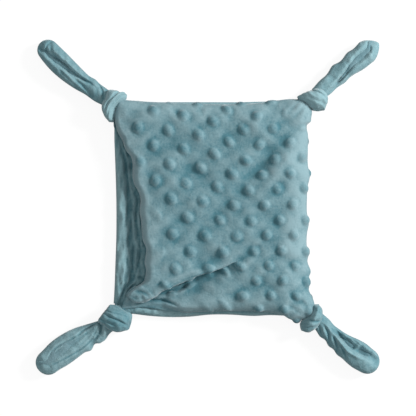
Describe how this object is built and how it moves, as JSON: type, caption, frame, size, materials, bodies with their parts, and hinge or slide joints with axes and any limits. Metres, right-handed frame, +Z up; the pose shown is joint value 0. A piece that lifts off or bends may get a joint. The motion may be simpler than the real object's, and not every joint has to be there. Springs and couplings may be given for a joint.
{
  "type": "comfort blanket lovey",
  "caption": "Small square comfort blanket of dimple-dot and smooth plush, drawn in and knotted at its corners, with soft tails that swing.",
  "frame": {"origin": "on the surface that the blanket lies on, under the middle of its whole box", "axes": "+X to the right and +Y to the top two knots with the dotted front showing, +Z up through the front"},
  "size_m": [0.3102, 0.3038, 0.0266],
  "materials": {
    "dimple_dot_plush": "short pile velour with raised dots",
    "smooth_plush": "smooth short pile velour",
    "inner_plush": "smooth short pile velour, in shade",
    "seam_thread": "polyester sewing thread",
    "polyester_wadding": "loose fibre"
  },
  "bodies": {
    "blanket": {"front_panel": "dimple_dot_plush", "back_panel": "smooth_plush", "wadding_pad": "polyester_wadding", "seam_thread": "seam_thread", "top_left_neck": "smooth_plush", "top_right_neck": "smooth_plush", "bottom_left_neck": "smooth_plush", "bottom_right_neck": "smooth_plush"},
    "top_left_knotted_end": {"top_left_knot": "smooth_plush"},
    "top_left_tail_end": {"top_left_tail": "smooth_plush", "top_left_tail_fold": "inner_plush"},
    "top_right_knotted_end": {"top_right_knot": "smooth_plush"},
    "top_right_tail_end": {"top_right_tail": "smooth_plush", "top_right_tail_fold": "inner_plush"},
    "bottom_left_knotted_end": {"bottom_left_knot": "smooth_plush"},
    "bottom_left_tail_end": {"bottom_left_tail": "smooth_plush", "bottom_left_tail_fold": "inner_plush"},
    "bottom_right_knotted_end": {"bottom_right_knot": "smooth_plush"},
    "bottom_right_tail_end": {"bottom_right_tail": "smooth_plush", "bottom_right_tail_fold": "inner_plush"}
  },
  "joints": [
    {"name": "top_left_knot_lift", "type": "hinge", "parent": "blanket", "child": "top_left_knotted_end", "pos_m": [-0.07592, 0.08307, 0.0118], "axis": [0.6428, 0.766, 0], "range_deg": [-30, 75]},
    {"name": "top_left_tail_swing", "type": "hinge", "parent": "top_left_knotted_end", "child": "top_left_tail_end", "pos_m": [-0.09856, 0.10206, 0.01], "axis": [0, 0, 1], "range_deg": [-55, 55]},
    {"name": "top_right_knot_lift", "type": "hinge", "parent": "blanket", "child": "top_right_knotted_end", "pos_m": [0.08522, 0.08512, 0.0118], "axis": [0.766, -0.6428, 0], "range_deg": [-30, 75]},
    {"name": "top_right_tail_swing", "type": "hinge", "parent": "top_right_knotted_end", "child": "top_right_tail_end", "pos_m": [0.10482, 0.10848, 0.01], "axis": [0, 0, 1], "range_deg": [-55, 55]},
    {"name": "bottom_left_knot_lift", "type": "hinge", "parent": "blanket", "child": "bottom_left_knotted_end", "pos_m": [-0.06952, -0.08786, 0.0118], "axis": [-0.6018, 0.7986, 0], "range_deg": [-30, 75]},
    {"name": "bottom_left_tail_swing", "type": "hinge", "parent": "bottom_left_knotted_end", "child": "bottom_left_tail_end", "pos_m": [-0.09783, -0.10919, 0.01], "axis": [0, 0, 1], "range_deg": [-55, 55]},
    {"name": "bottom_right_knot_lift", "type": "hinge", "parent": "blanket", "child": "bottom_right_knotted_end", "pos_m": [0.08173, -0.09109, 0.0118], "axis": [-0.5878, -0.809, 0], "range_deg": [-30, 75]},
    {"name": "bottom_right_tail_swing", "type": "hinge", "parent": "bottom_right_knotted_end", "child": "bottom_right_tail_end", "pos_m": [0.10318, -0.10668, 0.01], "axis": [0, 0, 1], "range_deg": [-55, 55]}
  ]
}
